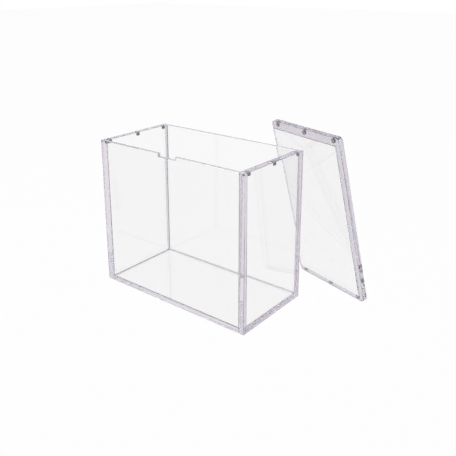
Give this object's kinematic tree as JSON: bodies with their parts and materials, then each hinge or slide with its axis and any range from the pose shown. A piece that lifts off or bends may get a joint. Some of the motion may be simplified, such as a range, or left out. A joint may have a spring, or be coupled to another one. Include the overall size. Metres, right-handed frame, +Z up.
{
  "type": "trading card display case",
  "caption": "Clear acrylic box for a boxed set of trading cards, with a magnetic lift-off lid that leans against its back corner.",
  "frame": {"origin": "middle of the case's underside, on the surface that the case stands on", "axes": "+X along the case's length to the viewer's right when facing its front, +Y from front to back, +Z up"},
  "size_m": [0.2763, 0.1729, 0.2024],
  "materials": {
    "clear_acrylic": "clear cast acrylic, polished faces and edges",
    "magnet_nickel": "dark nickel-plated disc magnet"
  },
  "bodies": {
    "case": {"front_panel": "clear_acrylic", "back_panel": "clear_acrylic", "left_panel": "clear_acrylic", "right_panel": "clear_acrylic", "base_panel": "clear_acrylic", "left_magnet_front": "magnet_nickel", "left_magnet_middle": "magnet_nickel", "left_magnet_back": "magnet_nickel", "right_magnet_front": "magnet_nickel", "right_magnet_middle": "magnet_nickel", "right_magnet_back": "magnet_nickel"},
    "lid": {"lid_top_plate": "clear_acrylic", "lid_inner_plate": "clear_acrylic", "lid_left_magnet_front": "magnet_nickel", "lid_left_magnet_middle": "magnet_nickel", "lid_left_magnet_back": "magnet_nickel", "lid_right_magnet_front": "magnet_nickel", "lid_right_magnet_middle": "magnet_nickel", "lid_right_magnet_back": "magnet_nickel"}
  },
  "joints": [
    {"name": "lid_lift", "type": "slide", "parent": "case", "child": "lid", "axis": [0, 0, 1], "range_m": [0, 0.2]}
  ]
}
